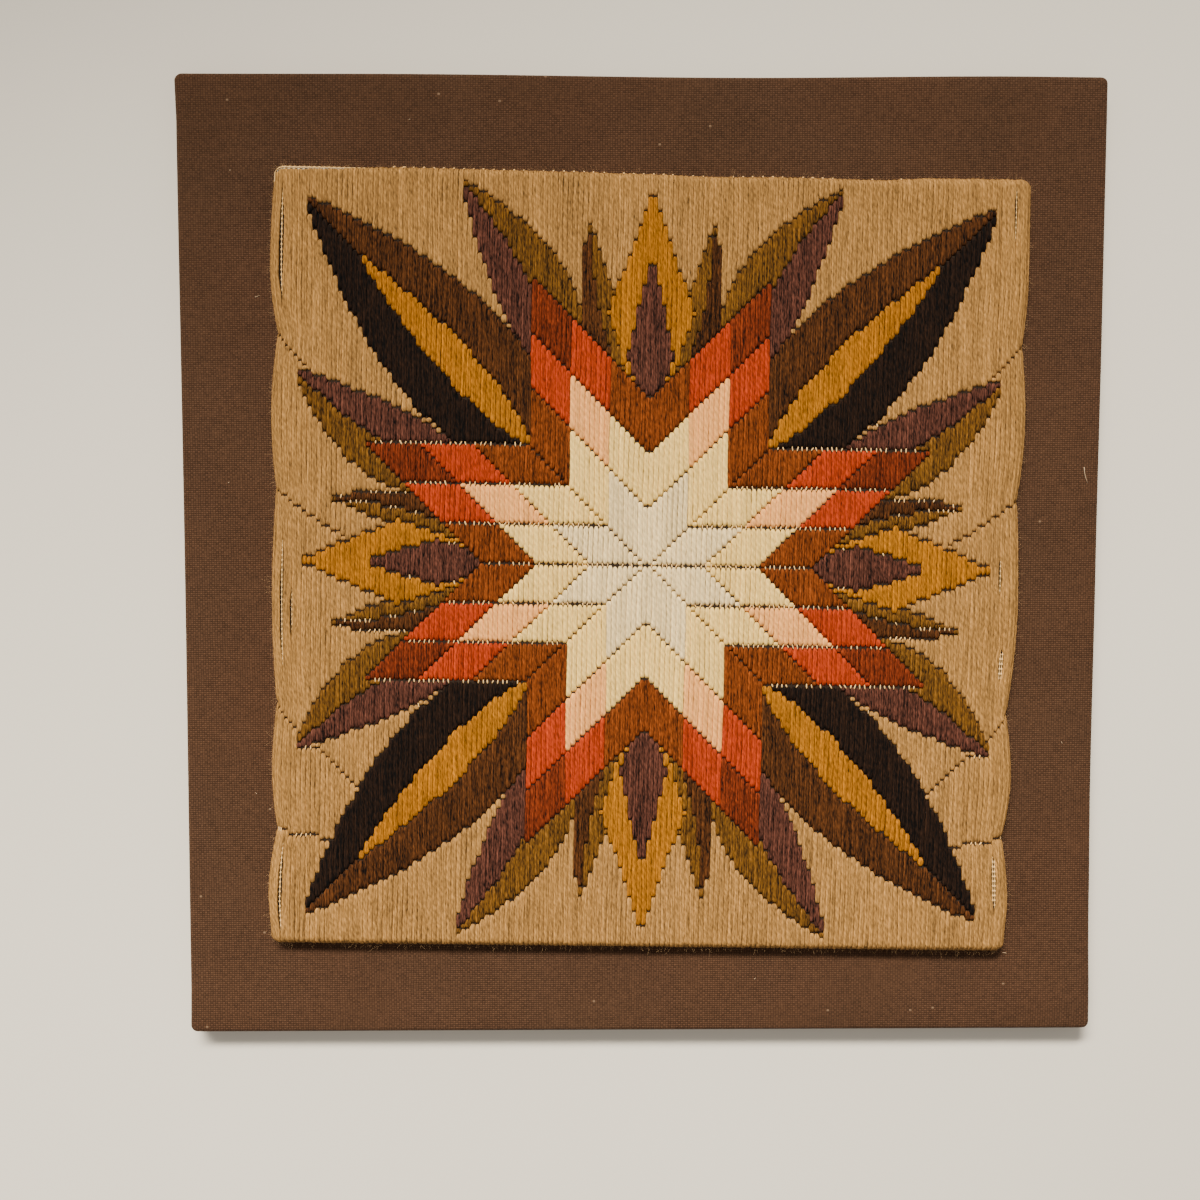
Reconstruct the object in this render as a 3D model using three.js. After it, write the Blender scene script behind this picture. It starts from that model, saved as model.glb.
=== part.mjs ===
// Long-stitch wool embroidery, stretched over a padded card and fixed to the front of a cloth-covered board.
// Millimetres, +Z up. The piece lies on its back: X runs across the picture, Y up the picture and Z out of its face.
// The origin is the middle of the board's back.
import * as THREE from "three";

// Board
const BOARD_WIDTH = 480;
const BOARD_HEIGHT = 500;
const BOARD_THICKNESS = 13;
const BOARD_CORNER_RADIUS = 5;
const BOARD_FRONT_ROUND = 2.6;
const BOARD_BACK_ROUND = 1.4;
const PULL_REACH = 40;

// Embroidered panel, in its own frame with its centre at x = 0, y = 0 and its back at z = 0
const PANEL_HEIGHT = 402;
const PANEL_THICKNESS = 8;
const PANEL_CROWN = 0.8;
const PANEL_CENTRE = { x: 2, y: -2 };
const PANEL_TURN_DEG = -0.9;
const PANEL_CLEARANCE = 0.3;
const SIDE_ROUND = 6.5;
const END_ROUND = 4.5;
const PULL_FADE = 10;

// Wool stitches: upright ribs side by side, on the face and round each side
const STITCH_PITCH = 2.54;
const FACE_STITCHES = 148;
const SIDE_STITCHES = 4;
const RIB_RELIEF = 0.6;

const FACE_HALF_WIDTH = (FACE_STITCHES * STITCH_PITCH) / 2;
const PANEL_HALF_WIDTH = FACE_HALF_WIDTH + SIDE_ROUND;
const POINTS_ON_SIDE = SIDE_STITCHES * 2;
const LAST_POINT = (FACE_STITCHES + 2 * SIDE_STITCHES) * 2;
const SAME_POINT = 1e-4;

// How far the wrapped cloth is drawn in from the board's straight edges, at points along each edge
const LEFT_PULL = [
  { along: -250, pull: 0.5 },
  { along: -242, pull: 0.3 },
  { along: -225, pull: 0.8 },
  { along: 0, pull: 1.2 },
  { along: 228, pull: 0.7 },
  { along: 245, pull: 0 },
  { along: 250, pull: 0.4 },
];
const RIGHT_PULL = [
  { along: -250, pull: 0.3 },
  { along: -245, pull: 0 },
  { along: -185, pull: 1.1 },
  { along: -115, pull: 1.7 },
  { along: 0, pull: 1.2 },
  { along: 130, pull: 0.5 },
  { along: 250, pull: 0.2 },
];
const TOP_PULL = [
  { along: -240, pull: 0.5 },
  { along: -125, pull: 0.2 },
  { along: 45, pull: 1.4 },
  { along: 190, pull: 0 },
  { along: 240, pull: 0.3 },
];
const BOTTOM_PULL = [
  { along: -240, pull: 0 },
  { along: 240, pull: 0 },
];

// Sections down the panel between its two rounded ends. The sides swell between the tucks, which are drawn in
// where one run of stitches ends and the next begins. left and right are the reach from the centre line.
const PANEL_SECTIONS = [
  { form: "swell", y: 150, left: 195.4, right: 194.4 },
  { form: "tuck", y: 116, left: 191.4, right: 192.2 },
  { form: "swell", y: 75, left: 194.4, right: 195.0 },
  { form: "tuck", y: 37, left: 192.0, right: 192.0 },
  { form: "swell", y: -18, left: 193.8, right: 194.2 },
  { form: "tuck", y: -75, left: 191.4, right: 190.0 },
  { form: "swell", y: -110, left: 193.5, right: 193.6 },
  { form: "tuck", y: -140, left: 191.0, right: 189.8 },
  { form: "swell", y: -178, left: 195.4, right: 194.0 },
];
const TOP_REACH = { left: 193.4, right: 193.8 };
const BOTTOM_REACH = { left: 194.0, right: 192.6 };
const TUCK_DIP = 1.2;

// Angles of the surface at the rows of a rounded end: 0 stands upright, 90 is the face
const END_LIFTS = [20, 55, 90];

const boardCloth = new THREE.MeshStandardMaterial({ color: 0x62412b, roughness: 0.95, metalness: 0 });
const woolStitches = new THREE.MeshStandardMaterial({ color: 0xb08556, roughness: 0.9, metalness: 0 });

// Value of a table at a place along an edge, eased from row to row
function pullAt(table, along) {
  const next = table.findIndex((row) => row.along >= along);
  if (next <= 0) return table[next === 0 ? 0 : table.length - 1].pull;
  const before = table[next - 1];
  const after = table[next];
  const share = (along - before.along) / (after.along - before.along);
  return before.pull + (after.pull - before.pull) * THREE.MathUtils.smoothstep(share, 0, 1);
}

// A closed body from rings of points, each ring joined to the next, with its two end rings filled flat
function bodyFromRings(rings) {
  const count = rings[0].length;
  const positions = rings.flat().flatMap((point) => point.toArray());
  const triangles = [];
  for (let ring = 0; ring + 1 < rings.length; ring++) {
    for (let i = 0; i < count; i++) {
      const a = ring * count + i;
      const b = ring * count + ((i + 1) % count);
      triangles.push(a, b, b + count, a, b + count, a + count);
    }
  }
  const topStart = (rings.length - 1) * count;
  for (const [a, b, c] of flatFill(rings[0])) triangles.push(c, b, a);
  for (const [a, b, c] of flatFill(rings.at(-1))) triangles.push(topStart + a, topStart + b, topStart + c);
  return geometryOf(positions, triangles);
}

// Triangles, counter-clockwise seen from +Z, that fill a level outline
function flatFill(outline) {
  const contour = outline.map((point) => new THREE.Vector2(point.x, point.y));
  return THREE.ShapeUtils.triangulateShape(contour, []);
}

function geometryOf(positions, triangles) {
  const geometry = new THREE.BufferGeometry();
  geometry.setAttribute("position", new THREE.Float32BufferAttribute(positions, 3));
  geometry.setIndex(triangles);
  geometry.computeVertexNormals();
  return geometry;
}

// Corner centre plus outward direction for each point of the board's rounded outline, counter-clockwise
function boardOutline() {
  const stepsOnCorner = 5;
  const stepsOnSide = 12;
  const halfX = BOARD_WIDTH / 2 - BOARD_CORNER_RADIUS;
  const halfY = BOARD_HEIGHT / 2 - BOARD_CORNER_RADIUS;
  const corners = [
    { x: halfX, y: -halfY, from: -90 },
    { x: halfX, y: halfY, from: 0 },
    { x: -halfX, y: halfY, from: 90 },
    { x: -halfX, y: -halfY, from: 180 },
  ];
  return corners.flatMap((corner, index) => {
    const next = corners[(index + 1) % corners.length];
    const points = [];
    for (let step = 0; step <= stepsOnCorner; step++) {
      const angle = THREE.MathUtils.degToRad(corner.from + (90 * step) / stepsOnCorner);
      points.push({ x: corner.x, y: corner.y, outX: Math.cos(angle), outY: Math.sin(angle) });
    }
    const { outX, outY } = points.at(-1);
    for (let step = 1; step < stepsOnSide; step++) {
      const share = step / stepsOnSide;
      const x = THREE.MathUtils.lerp(corner.x, next.x, share);
      const y = THREE.MathUtils.lerp(corner.y, next.y, share);
      points.push({ x, y, outX, outY });
    }
    return points;
  });
}

// A point of the straight board moved by the pull of the cloth, which fades away from the edges
function pulledIn(x, y, z) {
  const near = (reach, half) => THREE.MathUtils.smoothstep(reach, half - PULL_REACH, half);
  const left = pullAt(LEFT_PULL, y) * near(-x, BOARD_WIDTH / 2);
  const right = pullAt(RIGHT_PULL, y) * near(x, BOARD_WIDTH / 2);
  const top = pullAt(TOP_PULL, x) * near(y, BOARD_HEIGHT / 2);
  const bottom = pullAt(BOTTOM_PULL, x) * near(-y, BOARD_HEIGHT / 2);
  return new THREE.Vector3(x + left - right, y + bottom - top, z);
}

// The board in its cloth: a slab with round corners, a soft front edge and unevenly drawn sides
function coveredBoard() {
  const profile = [];
  for (const lift of [0, 45, 90]) {
    const angle = THREE.MathUtils.degToRad(lift);
    const inset = BOARD_BACK_ROUND * (1 - Math.sin(angle));
    profile.push({ inset, z: BOARD_BACK_ROUND * (1 - Math.cos(angle)) });
  }
  for (const lift of [0, 30, 60, 90]) {
    const angle = THREE.MathUtils.degToRad(lift);
    const inset = BOARD_FRONT_ROUND * (1 - Math.cos(angle));
    profile.push({ inset, z: BOARD_THICKNESS - BOARD_FRONT_ROUND * (1 - Math.sin(angle)) });
  }
  const outline = boardOutline();
  const rings = profile.map(({ inset, z }) =>
    outline.map(({ x, y, outX, outY }) => {
      const out = BOARD_CORNER_RADIUS - inset;
      return pulledIn(x + outX * out, y + outY * out, z);
    }),
  );
  const mesh = new THREE.Mesh(bodyFromRings(rings), boardCloth);
  mesh.name = "covered_board";
  return mesh;
}

// All sections of the panel from its top edge to its bottom edge. towards is +1 on the top end and -1 on the bottom.
function panelRows() {
  const endRow = (lift, towards, reach) => {
    const angle = THREE.MathUtils.degToRad(lift);
    const y = towards * (PANEL_HEIGHT / 2 - END_ROUND * (1 - Math.cos(angle)));
    return { y, lift, towards, dip: 0, ...reach };
  };
  const face = PANEL_SECTIONS.map(({ form, y, left, right }) => {
    return { y, lift: 90, towards: 1, dip: form === "tuck" ? TUCK_DIP : 0, left, right };
  });
  const top = END_LIFTS.map((lift) => endRow(lift, 1, TOP_REACH));
  const bottom = END_LIFTS.map((lift) => endRow(lift, -1, BOTTOM_REACH)).reverse();
  return [...top, ...face, ...bottom];
}

// A point of one section. Points run from the left edge over the face to the right edge, two to a stitch: the even
// ones lie in the valley between two stitches and the odd ones on a stitch's crest.
function panelPoint(row, index) {
  const onLeft = index < LAST_POINT / 2;
  const fromEdge = onLeft ? index : LAST_POINT - index;
  const side = onLeft ? -1 : 1;
  const bend = THREE.MathUtils.degToRad(Math.min(1, fromEdge / POINTS_ON_SIDE) * 90);
  const lift = THREE.MathUtils.degToRad(row.lift);
  const alongFace = Math.max(0, fromEdge - POINTS_ON_SIDE) * (STITCH_PITCH / 2);
  const roundIn = SIDE_ROUND * (1 - Math.sin(lift) * Math.cos(bend));
  const pull = (onLeft ? row.left : row.right) - PANEL_HALF_WIDTH;
  const fade = Math.exp(-(roundIn + alongFace) / PULL_FADE);
  const out = new THREE.Vector3(
    side * Math.sin(lift) * Math.cos(bend),
    row.towards * Math.cos(lift),
    Math.sin(lift) * Math.sin(bend),
  );
  const across = side * (PANEL_HALF_WIDTH - roundIn - alongFace + pull * fade);
  const crownX = 1 - (across / PANEL_HALF_WIDTH) ** 2;
  const crownY = 1 - (row.y / (PANEL_HEIGHT / 2)) ** 2;
  const crown = PANEL_CROWN * Math.max(0, crownX) * Math.max(0, crownY);
  const height = (PANEL_THICKNESS - row.dip * fade + crown) * out.z;
  const rib = (index % 2 === 1 ? RIB_RELIEF : -RIB_RELIEF) / 2;
  return new THREE.Vector3(across, row.y, height).addScaledVector(out, rib);
}

// The stitched panel: a rib for every upright stitch, round sides that swell and tuck, and a flat back
function embroideredPanel() {
  const rows = panelRows().map((row) => {
    return Array.from({ length: LAST_POINT + 1 }, (_, index) => panelPoint(row, index));
  });
  const standOn = (row) => row.map((point) => new THREE.Vector3(point.x, point.y, 0));
  const sheet = [standOn(rows[0]), ...rows, standOn(rows.at(-1))];
  const width = LAST_POINT + 1;
  const points = sheet.flat();
  const triangles = [];
  const addTriangle = (a, b, c) => {
    const corners = [points[a], points[b], points[c]];
    const collapsed = corners.some((corner, i) => corner.distanceTo(corners[(i + 1) % 3]) < SAME_POINT);
    if (!collapsed) triangles.push(a, b, c);
  };
  for (let row = 0; row + 1 < sheet.length; row++) {
    for (let i = 0; i < LAST_POINT; i++) {
      const a = row * width + i;
      addTriangle(a, a + width, a + width + 1);
      addTriangle(a, a + width + 1, a + 1);
    }
  }
  // The flat back is strips from end to end under the face, and one fill under each round side
  const bottomEdge = (sheet.length - 1) * width;
  for (let i = POINTS_ON_SIDE; i < LAST_POINT - POINTS_ON_SIDE; i++) {
    addTriangle(i, i + 1, bottomEdge + i + 1);
    addTriangle(i, bottomEdge + i + 1, bottomEdge + i);
  }
  const roundSide = Array.from({ length: POINTS_ON_SIDE + 1 }, (_, i) => i);
  const sideRows = Array.from({ length: sheet.length - 4 }, (_, i) => (i + 2) * width);
  for (const mirrored of [(i) => i, (i) => LAST_POINT - i]) {
    const atTop = roundSide.map(mirrored).reverse();
    const atBottom = roundSide.map((i) => bottomEdge + mirrored(i));
    const rim = [...atTop, ...sideRows.map((start) => start + mirrored(0)), ...atBottom];
    for (const [a, b, c] of flatFill(rim.map((i) => points[i]))) addTriangle(rim[c], rim[b], rim[a]);
  }
  const positions = points.flatMap((point) => point.toArray());
  const mesh = new THREE.Mesh(geometryOf(positions, triangles), woolStitches);
  mesh.name = "embroidered_panel";
  return mesh;
}

const mountedPanel = new THREE.Group();
mountedPanel.position.set(PANEL_CENTRE.x, PANEL_CENTRE.y, BOARD_THICKNESS + PANEL_CLEARANCE);
mountedPanel.rotation.z = THREE.MathUtils.degToRad(PANEL_TURN_DEG);
mountedPanel.add(embroideredPanel());

const wallPanel = new THREE.Group();
wallPanel.add(coveredBoard(), mountedPanel);

export default wallPanel;
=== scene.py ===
import math

import bmesh
import bpy
import numpy as np
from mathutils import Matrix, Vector


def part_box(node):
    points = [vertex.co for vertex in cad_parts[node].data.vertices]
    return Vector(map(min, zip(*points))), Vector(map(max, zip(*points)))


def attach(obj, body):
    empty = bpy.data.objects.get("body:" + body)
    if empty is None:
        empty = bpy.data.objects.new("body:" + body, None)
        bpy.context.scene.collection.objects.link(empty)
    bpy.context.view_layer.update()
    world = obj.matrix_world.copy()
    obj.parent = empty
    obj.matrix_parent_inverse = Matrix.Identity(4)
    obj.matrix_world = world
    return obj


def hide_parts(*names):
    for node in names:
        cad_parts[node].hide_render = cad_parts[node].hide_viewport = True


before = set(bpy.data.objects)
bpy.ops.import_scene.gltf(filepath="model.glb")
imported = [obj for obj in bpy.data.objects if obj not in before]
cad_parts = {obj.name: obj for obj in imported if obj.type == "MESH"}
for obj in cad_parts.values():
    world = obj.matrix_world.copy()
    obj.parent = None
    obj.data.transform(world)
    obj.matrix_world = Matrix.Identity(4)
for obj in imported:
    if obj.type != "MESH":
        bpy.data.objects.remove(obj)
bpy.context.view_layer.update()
scene = bpy.context.scene

# Camera
# The piece lies on its back, so the camera looks down at it, from the distance and with the small slant at
# which the picture is seen: a little left of its middle and a little above it.
board_low, board_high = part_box("covered_board")
camera_left = 0.02937
camera_up = 0.01168
camera_distance = 0.62662
camera_turns = (-2.898, -0.661, 0.013)
camera = bpy.data.objects.new("camera", bpy.data.cameras.new("camera"))
camera.data.sensor_width = 36.0
camera.data.lens = 36.0
camera.location = (-camera_left, camera_up, board_high.z + camera_distance)
camera.rotation_euler = tuple(math.radians(turn) for turn in camera_turns)
scene.collection.objects.link(camera)
scene.camera = camera


# Covered board
# A soft fibreboard in a brown plain-weave cloth that is pulled tight round its edges and fixed behind. The
# pull has drawn the edges in unevenly, and the cloth rounds every edge and corner.
board_half_x = 0.240
board_half_y = 0.250
board_thickness = board_high.z - board_low.z
corner_radius = 0.0035
front_round = 0.0026
back_round = 0.0014
pull_reach = 0.040
warp_pitch = 0.00130
weft_pitch = 0.00108
left_pull = {"along": (-250, -242, -225, 0, 228, 245, 250), "pull": (0.5, 0.3, 0.8, 1.2, 0.7, 0, 0.4)}
right_pull = {"along": (-250, -245, -185, -115, 0, 130, 250), "pull": (0.3, 0, 1.1, 1.7, 1.2, 0.5, 0.2)}
top_pull = {"along": (-240, -125, 45, 190, 240), "pull": (0.5, 0.2, 1.4, 0, 0.3)}


def smooth(share):
    """The usual soft step: three share squared less two share cubed, held between 0 and 1."""
    share = np.clip(share, 0, 1)
    return share * share * (3 - 2 * share)


def pull_at(table, along):
    """Millimetres of a pull table in metres at places along an edge, eased from one row to the next."""
    places = np.array(table["along"]) / 1000
    pulls = np.array(table["pull"]) / 1000
    row = np.interp(along, places, np.arange(len(places)))
    before = np.minimum(row.astype(int), len(places) - 2)
    return pulls[before] + (pulls[before + 1] - pulls[before]) * smooth(row - before)


def pulled_in(points):
    """Moves points near an edge inwards by that edge's pull, times a soft step that ends at pull_reach."""
    x, y = points[..., 0], points[..., 1]
    near_left = smooth((-x - board_half_x + pull_reach) / pull_reach)
    near_right = smooth((x - board_half_x + pull_reach) / pull_reach)
    near_top = smooth((y - board_half_y + pull_reach) / pull_reach)
    x_moved = x + pull_at(left_pull, y) * near_left - pull_at(right_pull, y) * near_right
    y_moved = y - pull_at(top_pull, x) * near_top
    return np.stack((x_moved, y_moved, points[..., 2]), -1)


def new_piece(name, points, faces, maps):
    """A smooth mesh object from a vertex array, a list of face arrays and, for each UV map, a list of corner
    arrays."""
    mesh = bpy.data.meshes.new(name)
    corners = np.concatenate([part.ravel() for part in faces]).astype(np.int32)
    sizes = np.concatenate([np.full(len(part), part.shape[1]) for part in faces])
    mesh.vertices.add(len(points))
    mesh.vertices.foreach_set("co", np.asarray(points, np.float32).ravel())
    mesh.loops.add(len(corners))
    mesh.loops.foreach_set("vertex_index", corners)
    mesh.polygons.add(len(sizes))
    mesh.polygons.foreach_set("loop_start", (np.cumsum(sizes) - sizes).astype(np.int32))
    mesh.update(calc_edges=True)
    mesh.polygons.foreach_set("use_smooth", np.ones(len(sizes), bool))
    for map_name, parts in maps.items():
        layer = mesh.uv_layers.new(name=map_name)
        flat = np.concatenate([part.reshape(-1, 2) for part in parts])
        layer.uv.foreach_set("vector", flat.astype(np.float32).ravel())
    piece = bpy.data.objects.new(name, mesh)
    scene.collection.objects.link(piece)
    return piece


def strips(rows, columns, wrap):
    """Quads of a grid of rows by columns. Each goes along its row first and then to the next row, so it
    faces the first direction crossed with the second."""
    row = np.arange(rows - 1)[:, None]
    column = np.arange(columns if wrap else columns - 1)[None, :]
    beside = (column + 1) % columns
    quads = np.stack(np.broadcast_arrays(
        row * columns + column,
        row * columns + beside,
        (row + 1) * columns + beside,
        (row + 1) * columns + column,
    ), -1)
    return quads.reshape(-1, 4)


class Shade:
    """A socket in a material's nodes. Sums, products and powers of it add Math nodes to that material."""

    def __init__(self, tree, socket=None):
        self.tree = tree
        self.socket = socket

    def node(self, kind, settings=None, inputs=None, output=0):
        """Adds a node, sets its settings, then its inputs by name or number, and wraps one output."""
        made = self.tree.nodes.new("ShaderNode" + kind)
        for name, value in (settings or {}).items():
            setattr(made, name, value)
        for key, value in (inputs or {}).items():
            if isinstance(value, Shade):
                self.tree.links.new(value.socket, made.inputs[key])
            else:
                made.inputs[key].default_value = value
        return Shade(self.tree, made.outputs[output] if made.outputs else None)

    def math(self, operation, *others):
        """A Math node of this value and the others."""
        return self.node("Math", {"operation": operation}, dict(enumerate((self, *others))))

    def __add__(self, other):
        return self.math("ADD", other)

    def __sub__(self, other):
        return self.math("SUBTRACT", other)

    def __rsub__(self, other):
        return self.node("Math", {"operation": "SUBTRACT"}, {0: other, 1: self})

    def __mul__(self, other):
        return self.math("MULTIPLY", other)

    def __truediv__(self, other):
        return self.math("DIVIDE", other)

    def __pow__(self, other):
        return self.math("POWER", other)

    __radd__ = __add__
    __rmul__ = __mul__

    def noise(self, scale, detail, *place):
        """Fractal noise from 0 to 1 at a place of three values, times a scale."""
        at = self.node("CombineXYZ", {}, dict(enumerate(place)))
        return self.node("TexNoise", {}, {"Vector": at, "Scale": scale, "Detail": detail})

    def blend(self, first, second):
        """A mix of two colours by this value."""
        ends = {0: self, 6: first, 7: second}
        return self.node("Mix", {"data_type": "RGBA"}, ends, 2)

    def tint(self, colour):
        """A colour multiplied by this value, taken as a grey."""
        ends = {0: 1.0, 6: colour, 7: self}
        return self.node("Mix", {"data_type": "RGBA", "blend_type": "MULTIPLY"}, ends, 2)


def new_material(name):
    """An empty material, and the start of its nodes."""
    material = bpy.data.materials.new(name)
    material.use_nodes = True
    material.node_tree.nodes.clear()
    return material, Shade(material.node_tree)


def paint(red, green, blue):
    """A display colour of 0 to 255 a channel as the linear colour that shaders use."""
    shares = np.array((red, green, blue)) / 255
    linear = np.where(shares <= 0.04045, shares / 12.92, ((shares + 0.055) / 1.055) ** 2.4)
    return (*(float(value) for value in linear), 1.0)


def board_rings():
    """Rings of the wrapped board from the middle of its front, over the edge, to the middle of its back.

    An outline point is a corner's centre plus the radius less the ring's inset along the outward direction,
    and the rings of the two faces are the face's rim scaled towards the middle. The map unrolls the cloth: a
    point's place on the straight outline, moved outwards by the distance along the profile.
    """
    corner_steps = 8
    side_steps = 24
    round_steps = 6
    half = np.array((board_half_x, board_half_y)) - corner_radius
    centres = np.array(((1, -1), (1, 1), (-1, 1), (-1, -1))) * half
    turn = np.radians(np.arange(4)[:, None] * 90 - 90 + np.linspace(0, 90, corner_steps)[None, :])
    arcs = np.stack((np.cos(turn), np.sin(turn)), -1)
    share = np.linspace(0, 1, side_steps + 2)[1:-1, None]
    sides = centres[:, None] + (np.roll(centres, -1, 0) - centres)[:, None] * share
    centre = np.concatenate((np.repeat(centres[:, None], corner_steps, 1), sides), 1).reshape(-1, 2)
    out = np.concatenate((arcs, np.repeat(arcs[:, -1:], side_steps, 1)), 1).reshape(-1, 2)
    lift = np.linspace(0, np.pi / 2, round_steps)
    inset = np.concatenate((front_round * (1 - np.sin(lift)), back_round * (1 - np.cos(lift))))
    height = np.concatenate((
        board_thickness - front_round * (1 - np.cos(lift)), back_round * (1 - np.sin(lift))
    ))
    reach = corner_radius - inset
    rim = centre + out * reach[:, None, None]
    walk = np.concatenate(([0], np.cumsum(np.hypot(np.diff(inset), np.diff(height)))))
    spread = centre + out * (corner_radius - front_round + walk)[:, None, None]
    towards_middle = np.array((0.0, 0.2, 0.5, 0.8, 0.95))[:, None, None]
    flat = np.concatenate((rim[:1] * towards_middle, rim, rim[-1:] * towards_middle[::-1]))
    face_rings = len(towards_middle)
    level = np.concatenate((np.full(face_rings, board_thickness), height, np.zeros(face_rings)))
    points = np.concatenate((flat, np.broadcast_to(level[:, None, None], (*flat.shape[:2], 1))), -1)
    behind = spread[-1:] + (rim[-1:] - rim[-1:] * towards_middle[::-1])
    cloth = np.concatenate((spread[:1] * towards_middle, spread, behind))
    return pulled_in(points), cloth


board_points, board_cloth_map = board_rings()
ring_count, around_count = board_points.shape[:2]
board_quads = strips(ring_count, around_count, True)[:, ::-1]
board_map = board_cloth_map.reshape(-1, 2)[board_quads]
covered_board = new_piece("cover_cloth", board_points.reshape(-1, 3), [board_quads], {"weave": [board_map]})


def merge_points(piece, distance):
    """Joins points that lie together, which closes the poles and seams, and points every face outwards."""
    work = bmesh.new()
    work.from_mesh(piece.data)
    bmesh.ops.remove_doubles(work, verts=work.verts, dist=distance)
    bmesh.ops.recalc_face_normals(work, faces=work.faces)
    work.to_mesh(piece.data)
    work.free()


merge_points(covered_board, 1e-6)


def cover_cloth_material():
    """Brown plain weave. Each crossing is a small pillow, the product of two sines, which raises it and is
    painted lighter on top and darker in the hollows between threads as shade. Every thread has its own tone
    and slubs from noise that is stretched along it. A few crossings are pale flecks."""
    material, start = new_material("brown_plain_weave")
    place = start.node("UVMap", {"uv_map": "weave"})
    u = place.node("SeparateXYZ", {}, {0: place}, 0)
    v = place.node("SeparateXYZ", {}, {0: place}, 1)
    drift = u.noise(90.0, 2.0, u, v, 0.3) - 0.5
    warp = u / warp_pitch + drift * 0.7
    weft = v / weft_pitch + drift * 0.7
    crossing = (warp * math.pi).math("SINE") * (weft * math.pi).math("SINE")
    pillow_relief_and_shade = crossing.math("ABSOLUTE") ** 0.6
    over = crossing.math("SIGN")
    warp_tone = u.noise(1.0, 3.0, warp * 0.9, v * 170.0, 4.0)
    weft_tone = u.noise(1.0, 3.0, u * 170.0, weft * 0.9, 9.0)
    square = u.node("CombineXYZ", {}, {0: warp.math("FLOOR"), 1: weft.math("FLOOR")})
    own_tone = u.node("TexWhiteNoise", {"noise_dimensions": "2D"}, {"Vector": square})
    fleck = own_tone.math("GREATER_THAN", 0.99985)
    mottle = u.noise(30.0, 3.0, u, v, 2.0)
    fibre = u.noise(1900.0, 2.0, u, v, 6.0)
    threads = warp_tone * 0.34 + weft_tone * 0.40 + own_tone * 0.26
    # The pillow term paints each crossing lighter on top and darker in the hollows between threads, as
    # shade.
    tone = pillow_relief_and_shade * 0.66 + over * 0.11 + threads + mottle * 0.26 + fibre * 0.34 - 0.305
    warm = u.noise(9.0, 2.0, u, v, 12.0)
    brown = warm.blend(paint(80, 57, 40), paint(84, 56, 38))
    height = pillow_relief_and_shade * 0.7 + own_tone * 0.25 + weft_tone * 0.2 + fibre * 0.2
    bump = u.node("Bump", {}, {"Strength": 0.9, "Distance": 0.0004, "Height": height})
    flecked = (fleck * 0.4).blend(tone.tint(brown), paint(168, 138, 108))
    surface = u.node("BsdfPrincipled", {}, {
        "Base Color": flecked, "Roughness": 0.95, "Normal": bump, "Specular IOR Level": 0.15,
        "Sheen Weight": 0.12, "Sheen Roughness": 0.5, "Sheen Tint": paint(150, 110, 80),
    })
    u.node("OutputMaterial", {}, {"Surface": surface})
    return material


covered_board.data.materials.append(cover_cloth_material())
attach(covered_board, "root")
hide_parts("covered_board")


# Lint
# Pale fibres and specks of fluff that have settled on the cloth and cling to its nap. The table gives their
# places from the middle and their lengths in millimetres, and their directions in degrees.
lint_table = {
    "x": (-199.7, -211.6, 194.3, 230.7, 196.8, -215.0, -202.4, 60.0, -120.0, 222.0),
    "y": (136.1, 199.9, -208.5, 49.4, 157.1, 40.8, -122.0, -222.0, 226.0, -96.0),
    "turn": (10, 70, 160, -89, 40, 20, 120, 35, 15, 100),
    "length": (2.6, 0.9, 2.2, 8.6, 0.8, 1.1, 1.0, 1.0, 0.9, 1.2),
}
lint_radius = 0.00022
lint_colour = (206, 176, 140)


def round_tubes(middles, upright, radius, sides):
    """Closed tubes, one for each row of middle points. A ring is a circle square to the run of its tube, and
    starts on the side that lies across both the run and the upright direction."""
    count, rings = middles.shape[:2]
    run = np.gradient(middles, axis=1)
    run /= np.linalg.norm(run, axis=-1, keepdims=True)
    beside = np.cross(run, upright)
    beside /= np.linalg.norm(beside, axis=-1, keepdims=True)
    over = np.cross(run, beside)
    turns = np.arange(sides)[:, None] * 2 * np.pi / sides
    circle = beside[:, :, None] * np.cos(turns) + over[:, :, None] * np.sin(turns)
    points = middles[:, :, None] + circle * np.broadcast_to(radius, (count, rings))[..., None, None]
    start = (np.arange(count) * rings * sides)[:, None]
    quads = (strips(rings, sides, True)[None] + start[..., None]).reshape(-1, 4)
    caps = np.concatenate((start + np.arange(sides)[::-1], start + np.arange(sides) + sides * (rings - 1)))
    return points.reshape(-1, 3), [quads, caps]


def hair_tubes(roots, ways, curls, lengths, radius):
    """Three-sided hairs. A hair starts at its root, runs along its way and bends towards its curl with the
    square of the distance, and narrows to two fifths of its radius at the tip."""
    hair_sides = 3
    upright = (0.31, 0.17, 0.93)
    share = np.linspace(0, 1, 5)
    bend = curls[:, None] * 0.45 * share[:, None] ** 2
    reach = lengths[:, None, None] * (ways[:, None] * share[:, None] + bend)
    return round_tubes(roots[:, None] + reach, upright, radius * (1 - 0.6 * share), hair_sides)


def plain_material(name, colour):
    """One even matt colour."""
    material, start = new_material(name)
    surface = start.node("BsdfPrincipled", {}, {"Base Color": paint(*colour), "Roughness": 0.9})
    start.node("OutputMaterial", {}, {"Surface": surface})
    return material


lint_x, lint_y, lint_lengths = (np.array(lint_table[name]) / 1000 for name in ("x", "y", "length"))
lint_turns = np.radians(lint_table["turn"])
level_run = np.zeros(len(lint_turns))
lint_roots = np.column_stack((lint_x, lint_y, level_run + board_high.z + lint_radius))
lint_ways = np.column_stack((np.cos(lint_turns), np.sin(lint_turns), level_run))
lint_curls = np.column_stack((-lint_ways[:, 1], lint_ways[:, 0], level_run)) * 0.5
lint_points, lint_faces = hair_tubes(lint_roots, lint_ways, lint_curls, lint_lengths, lint_radius)
lint = new_piece("lint_on_cloth", lint_points, lint_faces, {})
lint.data.materials.append(plain_material("pale_lint", lint_colour))
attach(lint, "root")


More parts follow.
